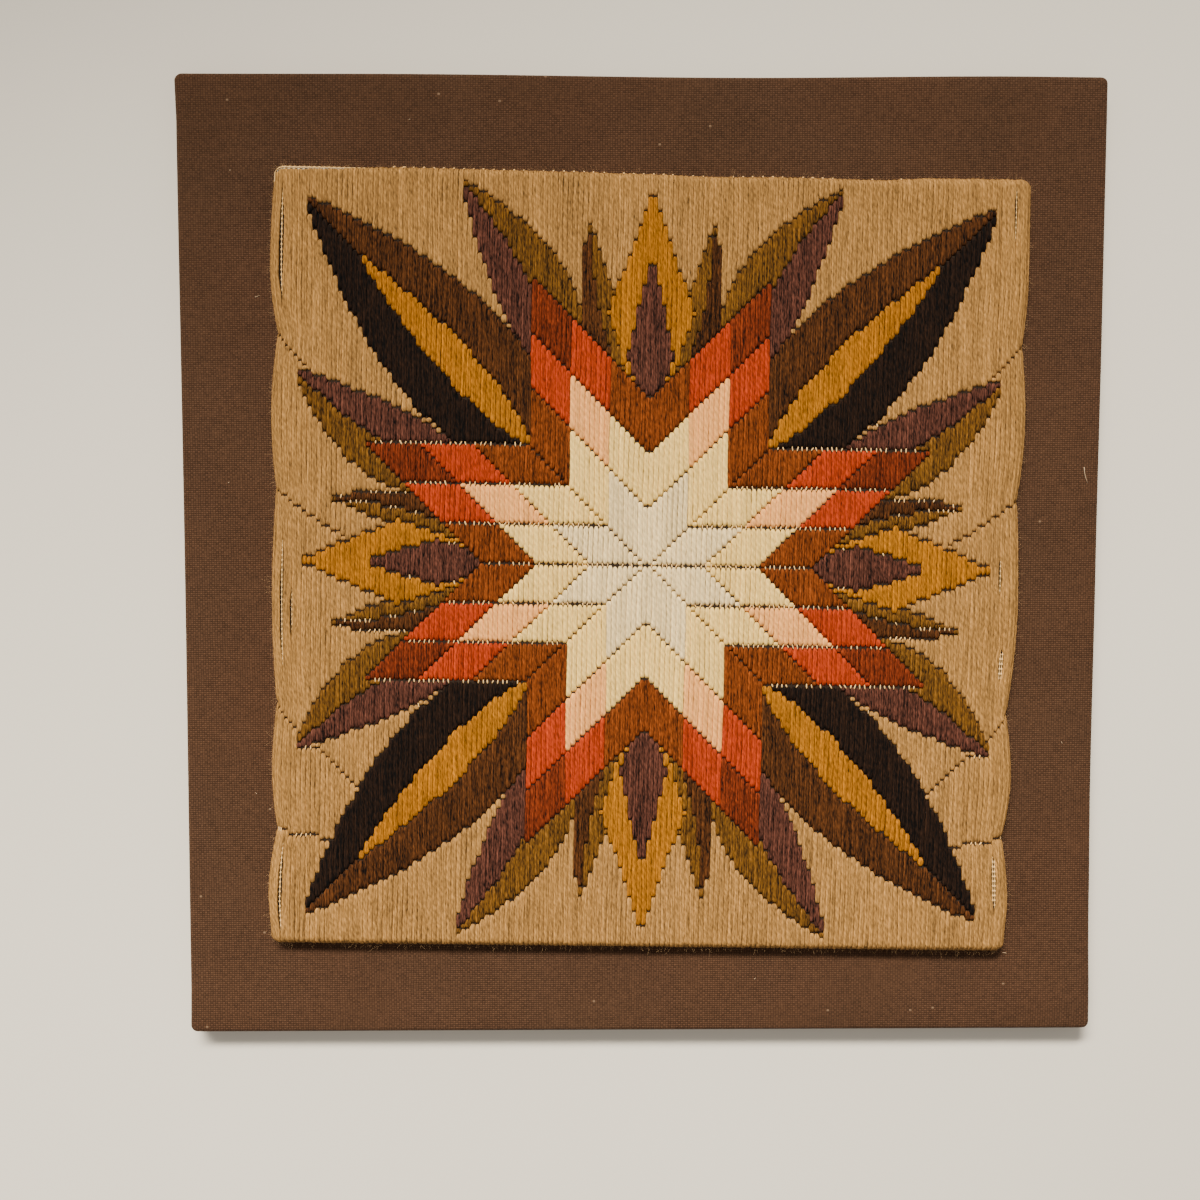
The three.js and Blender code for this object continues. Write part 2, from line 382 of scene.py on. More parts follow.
# Stitched canvas
# White canvas with ten holes to the inch, stretched over a padded card with rounded edges and glued to the
# board a little askew. It shows only where wool leaves it bare: at the upper left corner, in dots along the
# top edge, in slits and between the ends of stitches.
panel_half_height = 0.201
panel_thickness = 0.008
panel_crown = 0.0008
panel_gap = 0.0003
panel_centre = np.array((0.002, -0.002, board_high.z + panel_gap))
panel_turn = math.radians(-0.9)
side_round = 0.0065
end_round = 0.0045
end_wrap = 0.0100
pull_fade = 0.010
stitch_pitch = 0.00254
face_stitches = 148
side_stitches = 4
stitches_across = face_stitches + 2 * side_stitches
face_half_width = face_stitches * stitch_pitch / 2
panel_half_width = face_half_width + side_round
face_half_height = panel_half_height - end_round
canvas_depth = 0.0008
tuck_dip = 0.0012
tuck_reach = 0.006

# Reach of the sides from the middle, in millimetres, down the panel. They swell between tucks, where a run
# of stitches ends and the next begins. The top edge sags between its corners, from left to right.
side_rows = {
    "y": (201, 150, 116, 75, 37, -18, -75, -110, -140, -178, -201),
    "form": ("end", "swell", "tuck", "swell", "tuck", "swell", "tuck", "swell", "tuck", "swell", "end"),
    "left": (193.4, 195.4, 191.4, 194.4, 192.0, 193.8, 191.4, 193.5, 191.0, 195.4, 194.0),
    "right": (193.8, 194.4, 192.2, 195.0, 192.0, 194.2, 190.0, 193.6, 189.8, 194.0, 192.6),
}
top_sag = {
    "along": (-196, -120, -47, 0, 30, 64, 116, 146, 196),
    "pull": (0, 0, 0.4, 1.0, 1.7, 1.2, 1.6, 0.2, 0),
}
tuck_heights = np.array([y for y, form in zip(side_rows["y"], side_rows["form"]) if form == "tuck"]) / 1000


def side_reach(side, y):
    """Reach of one side at heights y: a quarter sine from each tuck, where it is steep, to the swell."""
    places = np.array(side_rows["y"][::-1]) / 1000
    reach = np.array(side_rows[side][::-1]) / 1000
    tucked = np.array([form == "tuck" for form in side_rows["form"][::-1]])
    row = np.interp(y, places, np.arange(len(places)))
    before = np.minimum(row.astype(int), len(places) - 2)
    share = row - before
    rising = np.where(tucked[before], np.sin(share * np.pi / 2), 1 - np.cos(share * np.pi / 2))
    return reach[before] + (reach[before + 1] - reach[before]) * rising


def panel_point(stitch, along, out=0.0):
    """The point of the panel at a stitch number counted from the left and a distance along the stitches from
    the middle, lifted by out. The side bends through a quarter ellipse over the outermost stitches, the ends
    do the same over end_wrap, the sides' pull fades inwards, the top edge sags, and the whole is turned and
    set on the board."""
    stitch, along = np.broadcast_arrays(np.asarray(stitch, float), np.asarray(along, float))
    from_edge = np.minimum(stitch, stitches_across - stitch)
    side = np.where(stitch < stitches_across / 2, -1.0, 1.0)
    bend = np.clip(from_edge / side_stitches, 0, 1) * np.pi / 2
    lift = (1 - np.clip((np.abs(along) - face_half_height) / end_wrap, 0, 1)) * np.pi / 2
    y = np.sign(along) * (np.minimum(np.abs(along), face_half_height) + end_round * np.cos(lift))
    round_in = side_round * (1 - np.sin(lift) * np.cos(bend))
    inwards = round_in + np.maximum(0, from_edge - side_stitches) * stitch_pitch
    fade = np.exp(-inwards / pull_fade)
    reach = np.where(side < 0, side_reach("left", y), side_reach("right", y))
    x = side * (panel_half_width - inwards + (reach - panel_half_width) * fade)
    y = y - pull_at(top_sag, x) * smooth((y - panel_half_height) / pull_reach + 1)
    crown = np.maximum(0, 1 - (x / panel_half_width) ** 2) * np.maximum(0, 1 - (y / panel_half_height) ** 2)
    dip = np.exp(-np.abs(y[..., None] - tuck_heights).min(-1) / tuck_reach) * fade * tuck_dip
    away = np.stack((
        side * np.sin(lift) * np.cos(bend), np.sign(along) * np.cos(lift), np.sin(lift) * np.sin(bend)
    ), -1)
    z = (panel_thickness + panel_crown * crown - dip) * away[..., 2]
    local = np.stack((x, y, z), -1) + away * np.asarray(out)[..., None]
    cos, sin = math.cos(panel_turn), math.sin(panel_turn)
    turned = np.stack((
        local[..., 0] * cos - local[..., 1] * sin, local[..., 0] * sin + local[..., 1] * cos, local[..., 2]
    ), -1)
    return turned + panel_centre


wrap_stitched = 0.99
wrap_to_top_line = 0.56
chart_low = -(face_half_height + end_wrap * wrap_stitched)
chart_high = -chart_low
top_line = face_half_height + end_wrap * wrap_to_top_line
chart_rows = 162
row_pitch = (chart_high - chart_low) / chart_rows
bend_steps = np.arange(0.5, side_stitches)
column_lines = (np.arange(stitches_across + 1), bend_steps, stitches_across - bend_steps)
canvas_columns = np.sort(np.concatenate(column_lines))
end_steps = face_half_height + np.linspace(0, end_wrap, 9)
row_lines = (chart_low + np.arange(chart_rows + 1) * row_pitch, end_steps, -end_steps)
canvas_rows = np.sort(np.concatenate(row_lines))
canvas_front = panel_point(canvas_columns[None, :], canvas_rows[:, None])
sunk = np.clip((canvas_front[..., 2] - panel_centre[2]) / canvas_depth, 0, 1)
canvas_front = panel_point(canvas_columns[None, :], canvas_rows[:, None], -canvas_depth * sunk)
canvas_front[..., 2] = np.maximum(canvas_front[..., 2], panel_centre[2])
canvas_quads = strips(len(canvas_rows), len(canvas_columns), False)
canvas_uv = np.stack(np.broadcast_arrays(canvas_columns[None, :], canvas_rows[:, None] / stitch_pitch), -1)
canvas_uv = canvas_uv.reshape(-1, 2)

# The back is closed by flat strips from side to side, and at each end by one face that follows the rim.
end_rows = 14
left_rim = np.arange(len(canvas_rows)) * len(canvas_columns)
right_rim = left_rim + len(canvas_columns) - 1
left_middle = left_rim[end_rows:-end_rows]
right_middle = right_rim[end_rows:-end_rows]
back_strips = np.stack((left_middle[:-1], left_middle[1:], right_middle[1:], right_middle[:-1]), -1)
bottom_row = np.arange(len(canvas_columns))
top_row = left_rim[-1] + bottom_row
back_ends = np.stack((
    np.concatenate((left_rim[1:end_rows + 1], right_rim[end_rows:0:-1], bottom_row[::-1])),
    np.concatenate((right_rim[-2:-end_rows - 2:-1], left_rim[-end_rows - 1:-1], top_row)),
))
canvas_faces = [canvas_quads, back_strips, back_ends]
canvas_maps = {"mesh": [canvas_uv[part] for part in canvas_faces]}
canvas = new_piece("stitched_canvas", canvas_front.reshape(-1, 3), canvas_faces, canvas_maps)
merge_points(canvas, 1e-6)


def canvas_material():
    """White canvas. Its holes are painted dark brown as shade, nearly square, a stitch pitch apart down the
    middle of a column. The threads between them are white where the canvas is bare, and painted the same
    dark brown elsewhere as the wool's shade."""
    hole_half = 0.27
    material, start = new_material("white_canvas")
    place = start.node("UVMap", {"uv_map": "mesh"})
    u = place.node("SeparateXYZ", {}, {0: place}, 0)
    v = place.node("SeparateXYZ", {}, {0: place}, 1)
    across = (u.math("FRACT") - 0.5) / hole_half
    up = ((v + 0.5).math("FRACT") - 0.5) / hole_half
    from_hole = (across ** 4.0 + up ** 4.0) ** 0.25
    thread = ((from_hole - 0.9) / 0.3).math("MAXIMUM", 0.0).math("MINIMUM", 1.0)
    fray = u.noise(3.0, 4.0, u, v, 0.0)
    crossed = (v * (2 * math.pi)).math("COSINE") * 0.3 + 0.7
    white = crossed.tint(fray.blend(paint(222, 196, 152), paint(252, 238, 206)))
    bare = u.node("Attribute", {"attribute_name": "bare"}, {}, "Fac")
    open_thread = thread * (bare * 1.6).math("MINIMUM", 1.0)
    # Painted shade: the holes, and the threads wherever wool covers the canvas, are dark brown in place of
    # white.
    colour = open_thread.blend(paint(44, 32, 22), white)
    bump = u.node("Bump", {}, {"Strength": 0.8, "Distance": 0.0006, "Height": thread + fray * 0.4})
    surface = u.node("BsdfPrincipled", {}, {
        "Base Color": colour, "Roughness": 0.9, "Normal": bump, "Specular IOR Level": 0.2,
    })
    u.node("OutputMaterial", {}, {"Surface": surface})
    return material


canvas.data.materials.append(canvas_material())
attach(canvas, "root")
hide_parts("embroidered_panel")


# Stitch chart
# The design that the stitcher follows: an eight-pointed star of lozenges with leaves and buds behind it, on
# a tan ground. Every place is in millimetres from the middle, and a later shape covers an earlier one.
star_tip = 158.0
lozenges = 3
star_rings = ("white", "cream", "rust", "red_orange", "dark_rust")
break_slopes = (0.90, 0.64, 0.90, 0.15)
break_reach = 140.0
chart_shapes = []


def leaf(base, tip, bow, width):
    """The two halves of a pointed leaf, and the whole. Its rib is a parabola that bows sideways from base to
    tip, and its width is a sine of the distance along it, fullest a little before the middle."""
    base, tip = np.array(base, float), np.array(tip, float)
    share = np.linspace(0, 1, 22)[:, None]
    run = tip - base
    side = np.array((-run[1], run[0])) / np.hypot(*run)
    rib = base + run * share + side * bow * 4 * share * (1 - share)
    reach = width * np.sin(np.pi * share ** 0.8) ** 0.85
    halves = [np.concatenate((rib, (rib + side * sign * reach)[::-1])) for sign in (1, -1)]
    return [*halves, np.concatenate((rib + side * reach, (rib - side * reach)[::-1]))]


for flip in np.array(((1, 1), (-1, 1), (1, -1), (-1, -1))):
    for base, tip, bow, width, left_wool, right_wool in (
        ((84, 40), (182, 98), -8, 19, "plum", "olive"),
        ((40, 84), (98, 194), 8, 19, "olive", "plum"),
        ((40, 40), (176, 184), 0, 31, "dark_brown", "black_brown"),
    ):
        left_half, right_half = leaf(base, tip, bow, width)[:2]
        chart_shapes += [(left_wool, left_half * flip), (right_wool, right_half * flip)]
    chart_shapes.append(("mustard", leaf((60, 60), (150, 157), 0, 9)[2] * flip))

for outwards, sideways, far in (
    ((1, 0), (0, 1), 180),
    ((-1, 0), (0, 1), 180),
    ((0, 1), (1, 0), 192),
    ((0, -1), (1, 0), 192),
):
    to_picture = np.array((outwards, sideways))
    for sign in (1, -1):
        for wool, half in zip(("dark_brown", "olive"), leaf((60, 0), (far - 18, 32), 7, 12)[:2]):
            chart_shapes.append((wool, half * (1, sign) @ to_picture))
    bud = np.array(((60, 0), (128, 22), (far, 0), (128, -22)))
    heart = np.array(((60, 0), (108, 12), (far - 34, 0), (108, -12)))
    chart_shapes += [("mustard", bud @ to_picture), ("plum", heart @ to_picture)]

lozenge_side = star_tip / (2 * math.cos(math.pi / 8)) / lozenges
for point in range(8):
    turns = np.array((point, point + 1)) * math.pi / 4
    edges = lozenge_side * np.stack((np.cos(turns), np.sin(turns)), -1)
    for i in range(lozenges):
        for j in range(lozenges):
            wool = "pink" if i == j == 1 else star_rings[i + j]
            corners = np.array(((i, j), (i + 1, j), (i + 1, j + 1), (i, j + 1)))
            chart_shapes.append((wool, corners @ edges))

chart_x = (np.arange(stitches_across) + 0.5 - stitches_across / 2) * stitch_pitch * 1000
chart_y = (chart_low + (np.arange(chart_rows) + 0.5) * row_pitch) * 1000
chart_x, chart_y = np.meshgrid(chart_x, chart_y, indexing="ij")


def inside(outline):
    """Which squares of the chart have their middle inside an outline: those with an odd number of its edges
    to their right."""
    x0, y0 = outline.T[:, :, None, None]
    x1, y1 = np.roll(outline, -1, 0).T[:, :, None, None]
    crosses = (y0 > chart_y) != (y1 > chart_y)
    at = x0 + (chart_y - y0) * (x1 - x0) / np.where(y1 == y0, 1, y1 - y0)
    return (crosses & (chart_x < at)).sum(0) % 2 == 1


edge_distance = panel_half_width * 1000 - np.abs(chart_x)
break_lines = [y * 1000 - slope * edge_distance for y, slope in zip(tuck_heights, break_slopes)]
ground_band = sum((chart_y < line).astype(int) for line in break_lines) * (np.abs(chart_x) > break_reach)
patch = -ground_band
for number, (wool, outline) in enumerate(chart_shapes):
    patch[inside(outline)] = number + 1

starts = np.ones(patch.shape, bool)
starts[:, 1:] = patch[:, 1:] != patch[:, :-1]
stitch_column, first_row = np.nonzero(starts)
same_column = np.append(stitch_column[1:] == stitch_column[:-1], False)
end_row = np.where(same_column, np.append(first_row[1:], chart_rows), chart_rows)
stitch_patch = patch[stitch_column, first_row]
stitch_low = chart_low + first_row * row_pitch
stitch_high = chart_low + end_row * row_pitch


# Wool stitches
# Plump two-ply wool, one upright stitch a column, from the hole where a patch of colour begins to the one
# where it ends. Each stitch is a tube that dives into the canvas at both ends and swells over its plies.
yarn_half_width = 0.00149
yarn_above = 0.00085
yarn_below = 0.00052
yarn_centre = -0.00050
ply_turn = 0.0080
ply_swell = 0.035
ring_step = 0.00135
end_places = np.array((0.0, 0.00050, 0.0012, 0.0022))
end_widths = np.array((0.40, 0.74, 0.95, 1.0))
pinched_widths = np.array((0.38, 0.54, 0.80, 1.0))
end_depths = np.array((-0.00100, -0.00042, -0.00010, 0.0))
end_gap = 0.00008
end_bulge = 0.00036
bulge_reach = 0.0010
full_rise = 0.00022
full_length = 0.03
slow_wander = 0.09
slow_wander_length = 0.083
slow_wander_columns = 23
quick_wander = 0.016
quick_wander_length = 0.019
lump_sideways = 0.009
lump_out = 0.00006
lump_girth = 0.028
tone_spread = 0.05
girth_spread = 0.035
height_spread = 0.00006
end_spread = 0.00012
section_turns = np.radians((-90, -15, 40, 90, 140, 195))
wool_colours = {
    "tan": (172, 125, 66),
    "white": (252, 219, 156),
    "cream": (255, 211, 118),
    "pink": (255, 177, 98),
    "rust": (119, 56, 13),
    "dark_rust": (109, 41, 12),
    "red_orange": (172, 55, 16),
    "olive": (106, 69, 20),
    "mustard": (166, 103, 9),
    "plum": (83, 47, 35),
    "dark_brown": (75, 41, 14),
    "black_brown": (30, 16, 7),
}

# Slits near the sides where two stitches have parted: the column to the right, the middle and half length
# along the stitches in metres, the opening in stitch widths, where the canvas threads in it lie across it,
# and how thick they are.
slits = {
    "column": (4, 4, 6, 4, 151, 150, 151, 151),
    "middle": (0.160, -0.021, -0.027, -0.170, 0.182, -0.003, -0.049, -0.163),
    "half": (0.024, 0.030, 0.011, 0.021, 0.012, 0.008, 0.007, 0.013),
    "opening": (0.80, 0.70, 0.50, 0.75, 0.55, 0.60, 1.05, 0.95),
    "threads": ((0.08,), (0.0,), (0.1,), (0.05,), (-0.05,), (0.1,), (-0.23, 0.23), (-0.22, 0.2)),
    "girth": (1.0, 0.85, 0.55, 1.0, 0.6, 0.65, 1.0, 0.95),
}

dice = np.random.default_rng(7)
stitch_count = len(stitch_column)
stitch_tone = dice.normal(1.0, tone_spread, stitch_count)
stitch_girth = dice.normal(1.0, girth_spread, stitch_count)
stitch_height = dice.normal(0.0, height_spread, stitch_count)
stitch_phase = dice.uniform(0, 2 * np.pi, (stitch_count, 3))

# Where stitches beside each other end on one row, their ends are pinched and the canvas shows between them.
# The grid of ends has two spare columns on each side.
row_ends = np.pad(starts, ((2, 2), (0, 1)))
left_column = stitch_column + 1
right_column = stitch_column + 3
low_pinched = row_ends[left_column, first_row] & row_ends[right_column, first_row] & (first_row > 0)
high_pinched = row_ends[left_column, end_row] & row_ends[right_column, end_row]

# The top row of stitches stops short of the edge at the left corner and leaves a strip of bare canvas there.
# The table gives how short, in millimetres, at stitch numbers from the left.
short_row = {
    "stitch": (0, 1, 2, 3, 9, 14, 18, 30),
    "short": (16.8, 12.8, 8.9, 6.7, 6.1, 5.6, 4.4, 0.0),
}
short_spread = 0.0006
bare_margin = 0.0012


def top_short(stitch):
    """How far below the chart's top the wool ends at a stitch number, straight from one row to the next."""
    return np.interp(stitch, short_row["stitch"], np.array(short_row["short"]) / 1000)


stitch_low += dice.normal(0, end_spread, stitch_count)
stitch_high += dice.normal(0, end_spread, stitch_count)
short_ends = top_short(stitch_column) + dice.uniform(0, short_spread, stitch_count)
stitch_high -= (end_row == chart_rows) * short_ends

corner_places = np.empty(2 * len(canvas.data.loops), np.float32)
canvas.data.uv_layers["mesh"].uv.foreach_get("vector", corner_places)
border, corner_along = corner_places.reshape(-1, 2).T
corner_along = corner_along * stitch_pitch
pinched_ends = np.zeros((stitches_across + 2, chart_rows + 1), bool)
pinched_ends[stitch_column + 1, first_row] |= low_pinched
pinched_ends[stitch_column + 1, end_row] |= high_pinched
bare = (corner_along > chart_high - top_short(border) - bare_margin) & (border < short_row["stitch"][-1])
canvas.data.attributes.new("bare", "FLOAT", "CORNER").data.foreach_set("value", bare.astype(np.float32))


def yarn_tubes(members):
    """Tubes of the stitches in members, as points, faces, UV maps and the tone of each point.

    Rings stand close together at both ends and ring_step apart between. A ring is an ellipse, flatter below,
    times one plus ply_swell by the cosine of twice its angle less the twist, which has turned once after
    each ply_turn. Its middle follows the panel with two sines of wander and a bell curve at each slit, and
    sinks at the ends. Where a stitch beside it ends and it goes on, it bulges into the room that is left by
    end_bulge times a bell curve.
    """
    low, high = stitch_low[members] + end_gap, stitch_high[members] - end_gap
    length = high - low
    ends = len(end_places)
    squeeze = np.minimum(1, length / (2.6 * end_places[-1]))
    between = np.maximum(1, np.ceil((length - 2 * end_places[-1] * squeeze) / ring_step)).astype(int)
    rings = 2 * ends + between - 1
    owner = np.repeat(np.arange(len(members)), rings)
    step = np.arange(rings.sum()) - (np.cumsum(rings) - rings)[owner]
    from_top = rings[owner] - 1 - step
    nearest = np.minimum(np.minimum(step, from_top), ends - 1)
    reach = end_places[ends - 1] * squeeze[owner]
    middle = reach + (step - ends + 1) / between[owner] * (length[owner] - 2 * reach)
    place = np.where(step < ends, end_places[nearest] * squeeze[owner], middle)
    place = np.where(from_top < ends, length[owner] - end_places[nearest] * squeeze[owner], place)
    along = low[owner] + place
    phase = stitch_phase[members][owner]
    column = stitch_column[members][owner]
    slow = np.sin((along / slow_wander_length + column / slow_wander_columns) * 2 * np.pi)
    quick = np.sin(along * 2 * np.pi / quick_wander_length + phase[:, 1])
    wander = slow_wander * slow + quick_wander * quick
    partings = zip(slits["column"], slits["middle"], slits["half"], slits["opening"])
    for right, middle_place, half, opening in partings:
        parted = opening / 2 * np.exp(-((along - middle_place) / half) ** 4)
        wander += parted * (column == right) - parted * (column == right - 1)
    lump = np.random.default_rng(len(members)).normal(0, 1, (3, len(along)))
    stitch = column + 0.5 + wander + lump_sideways * lump[0]
    fullness = np.sin(np.pi * place / length[owner]) * np.minimum(1, length[owner] / full_length)
    out = yarn_centre + end_depths[nearest] * squeeze[owner] + full_rise * fullness
    out += stitch_height[members][owner]
    out += lump_out * lump[1]
    centre = panel_point(stitch, along, out)
    across = panel_point(stitch + 0.2, along) - panel_point(stitch - 0.2, along)
    across /= np.linalg.norm(across, axis=-1, keepdims=True)
    away = panel_point(stitch, along, 0.001) - panel_point(stitch, along)
    away /= np.linalg.norm(away, axis=-1, keepdims=True)
    twist = along * 2 * np.pi / ply_turn + phase[:, 2]
    lobes = 1 + ply_swell * np.cos(2 * (section_turns[None, :] - twist[:, None]))
    pinched = np.where(step < from_top, low_pinched[members][owner], high_pinched[members][owner])
    narrowed = np.where(pinched, pinched_widths[nearest], end_widths[nearest])
    girth = (narrowed * stitch_girth[members][owner] * (1 + lump_girth * lump[2]))[:, None] * lobes
    row = np.clip(np.rint((along - chart_low) / row_pitch), 0, chart_rows).astype(int)
    from_row = along - chart_low - row * row_pitch
    near_row = np.exp(-(from_row / bulge_reach) ** 2) * ~row_ends[column + 2, row]
    left_room, right_room = (end_bulge * near_row * row_ends[column + beside, row] for beside in (1, 3))
    to_left = np.minimum(np.cos(section_turns), 0)
    to_right = np.maximum(np.cos(section_turns), 0)
    wide = girth * yarn_half_width * (to_left + to_right)
    wide += left_room[:, None] * to_left + right_room[:, None] * to_right
    tall = girth * np.where(np.sin(section_turns) > 0, yarn_above, yarn_below) * np.sin(section_turns)
    points = centre[:, None] + across[:, None] * wide[..., None] + away[:, None] * tall[..., None]

    sides = len(section_turns)
    lower = np.nonzero(from_top > 0)[0][:, None]
    side = np.arange(sides)[None, :]
    beside = (side + 1) % sides
    quads = np.stack((
        lower * sides + side,
        (lower + 1) * sides + side,
        (lower + 1) * sides + beside,
        lower * sides + beside,
    ), -1).reshape(-1, 4)
    first = np.nonzero(step == 0)[0][:, None] * sides + side
    last = np.nonzero(from_top == 0)[0][:, None] * sides + side[:, ::-1]
    quad_grid = (len(lower), sides, 4)
    ring_corners = np.stack((along[lower], along[lower + 1], along[lower + 1], along[lower]), -1)
    yarn_u = np.broadcast_to(ring_corners, quad_grid)
    yarn_v = np.broadcast_to(np.stack((side, side, side + 1, side + 1), -1) / sides, quad_grid)
    seed = phase[lower[:, 0], 2][:, None, None] * 0.05
    yarn_map = np.stack((yarn_u + seed, yarn_v), -1).reshape(-1, 4, 2)
    strip_u = (column[lower[:, 0]][:, None, None] + 0.04 + 0.92 * yarn_v) / stitches_across
    strip_v = (yarn_u - chart_low) / (chart_high - chart_low)
    strip_map = np.stack((strip_u, strip_v), -1).reshape(-1, 4, 2)
    caps = np.concatenate((first, last))
    cap_ring = caps[:, 0] // sides
    cap_map = np.stack((along[cap_ring], np.zeros(len(caps))), -1)[:, None].repeat(sides, 1)
    cap_strip = np.stack((
        (column[cap_ring] + 0.5) / stitches_across, (along[cap_ring] - chart_low) / (chart_high - chart_low)
    ), -1)[:, None].repeat(sides, 1)
    tone = np.repeat(stitch_tone[members][owner], sides)
    maps = {"yarn": [yarn_map, cap_map], "OFBake": [strip_map, cap_strip]}
    return points.reshape(-1, 3), [quads, caps], maps, tone


def wool_material(name, colour):
    """Two-ply wool. Noise drawn out along the stitch streaks its tone, more strongly on dark wool, where the
    light flecks stand in for glints of its fibres as painted highlights. A cosine along a helix round it
    sinks the groove between the plies and darkens it as painted shade, and a thin line of painted shade
    parts its two strands. The sides of the tube, in the gap beside the next stitch, are darkened as painted
    shade, most where the packing noise is high, and noise breaks that shade into dots. Each stitch has its
    own tone."""
    paleness = max(colour) / 255
    streak_and_glint = max(4.9 - 5.0 * paleness, 0.6)
    gap_shade = min(1.25 - 0.58 * paleness, 0.95)
    split_shade = 0.55 - 0.42 * paleness
    material, start = new_material("wool_" + name)
    place = start.node("UVMap", {"uv_map": "yarn"})
    along = place.node("SeparateXYZ", {}, {0: place}, 0)
    around = place.node("SeparateXYZ", {}, {0: place}, 1)
    tone = place.node("Attribute", {"attribute_name": "tone"}, {}, "Fac")
    slack = along.noise(1.0, 2.0, along * 120.0, tone * 90.0, 1.0)
    helix = around * 2.0 - along * (2 / ply_turn) + slack * 1.6
    ply = (helix * (2 * math.pi)).math("COSINE") * 0.5 + 0.5
    fibre = along.noise(1.0, 3.0, helix * 6.0, along * 420.0, tone * 60.0)
    fuzz = along.noise(1.0, 2.0, around * 13.0, along * 330.0, tone * 80.0)
    strand = along.noise(1.0, 2.0, around * 9.0, along * 55.0, tone * 40.0)
    packing = along.noise(1.0, 2.0, along * 100.0, tone * 70.0, 5.0)
    from_top = (around - 0.5).math("ABSOLUTE")
    parting = (around - 0.62 + slack * 0.24).math("ABSOLUTE")
    split = (1 - parting / 0.06).math("MAXIMUM", 0.0)
    # Painted shade: the tube's sides darken towards the gap beside the next stitch.
    valley_shade = ((from_top - 0.26 + packing * 0.22) / 0.13).math("MAXIMUM", 0.0).math("MINIMUM", 1.0)
    parted = ((packing - 0.40) / 0.20).math("MAXIMUM", 0.0).math("MINIMUM", 1.0)
    dotted = along.noise(1.0, 2.0, along * 430.0, tone * 30.0, 8.0)
    dotted = ((dotted - 0.36) / 0.22).math("MAXIMUM", 0.0).math("MINIMUM", 1.0)
    painted_gap_shade = valley_shade * (parted * 0.55 + 0.45) * (dotted * 0.5 + 0.5)
    # Tone streaks, and in part painted highlights: the stronger streaks on dark wool stand in for glints of
    # fibres.
    fleece_and_glint = (fibre * 0.3 + fuzz * 1.35 + strand * 1.05 - 1.35) * streak_and_glint + 1.0
    # Painted shade in the groove between the plies and in the line that parts the two strands.
    painted_groove_shade = (1 - (1 - ply) * 0.16) * (1 - split * split_shade)
    value = tone * fleece_and_glint * painted_groove_shade * (1 - painted_gap_shade * gap_shade)
    height = ply * 0.3 + fibre * 0.5 + fuzz * 0.9
    bump = along.node("Bump", {}, {"Strength": 0.8, "Distance": 0.0005, "Height": height})
    dyed = value.tint(paint(*colour))
    surface = along.node("BsdfPrincipled", {}, {
        "Base Color": dyed, "Roughness": 0.9, "Normal": bump, "Specular IOR Level": 0.15,
        "Sheen Weight": 0.2, "Sheen Roughness": 0.45, "Sheen Tint": paint(*colour),
    })
    along.node("OutputMaterial", {}, {"Surface": surface})
    return material


shape_wools = np.array([wool for wool, outline in chart_shapes])
stitch_wool = np.where(stitch_patch > 0, shape_wools[np.maximum(stitch_patch, 1) - 1], "tan")
for wool, colour in wool_colours.items():
    wool_look = wool_material(wool, colour)
    members = np.nonzero(stitch_wool == wool)[0]
    middle_height = (stitch_low + stitch_high)[members] / 2
    groups = {wool: members}
    if wool == "tan":
        groups = {"tan_upper": members[middle_height > 0], "tan_lower": members[middle_height <= 0]}
    for group, stitches in groups.items():
        yarn_points, yarn_faces, yarn_maps, yarn_tone = yarn_tubes(stitches)
        piece = new_piece("stitches_" + group, yarn_points, yarn_faces, yarn_maps)
        tones = piece.data.attributes.new("tone", "FLOAT", "POINT")
        tones.data.foreach_set("value", yarn_tone.astype(np.float32))
        piece.data.materials.append(wool_look)
        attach(piece, "root")


# Bare canvas threads
# The canvas's own white cotton where no wool lies on it: the threads in the slits, the short ones between
# pinched ends, the dots along the top edge, and the fold of the canvas, which bends round the left corner.
thread_radius = 0.00040
thread_level = -0.00030
slit_thread_radius = 0.00055
slit_level = -0.00018
thread_colour = (252, 208, 138)
dash_length = 0.0024
dash_profile = np.array((0.55, 0.9, 1.0, 0.9, 0.55))
dash_lean_spread = 0.11
dash_shift_spread = 0.07
dashes_shown = 0.74
dots_shown = 0.8
dot_level = 0.00036
dot_girth = 1.3
dot_above_line = 0.0012
edge_rows = np.array((0.0, 0.0010, 0.0020))
edge_path = {
    "stitch": (1.2, 1.2, 1.5, 2.6, 12.0, 21.0),
    "below_top": (0.0110, 0.0045, 0.0015, -0.0006, -0.0013, -0.0008),
}


def canvas_threads(stitch, along, radius, level):
    """Threads through stitch numbers and distances along the panel, lifted from its face by level."""
    upright = panel_point(stitch, along, 0.001) - panel_point(stitch, along)
    return round_tubes(panel_point(stitch, along, level), upright, radius, 5)


def beaded(radius, crossings):
    """A thread's radius where it swells over every crossing: the radius times 0.36 plus 0.64 by a cosine to
    the fourth power."""
    return radius * (0.36 + 0.64 * np.cos(np.pi * crossings) ** 4)


slit_rows = np.array([
    (column + across, middle, half, girth)
    for column, middle, half, opening, threads, girth in zip(*slits.values()) for across in threads
])
slit_stitch, slit_middle, slit_half, slit_girth = slit_rows.T[:, :, None]
slit_share = np.linspace(-1.15, 1.15, 170)
slit_along = slit_middle + slit_half * slit_share
slit_stitch = np.broadcast_to(slit_stitch, slit_along.shape)
slit_taper = 1 - (slit_share / 1.16) ** 6
slit_radius = beaded(slit_thread_radius * slit_girth, slit_along / stitch_pitch) * slit_taper
slit_threads = canvas_threads(slit_stitch, slit_along, slit_radius, slit_level)

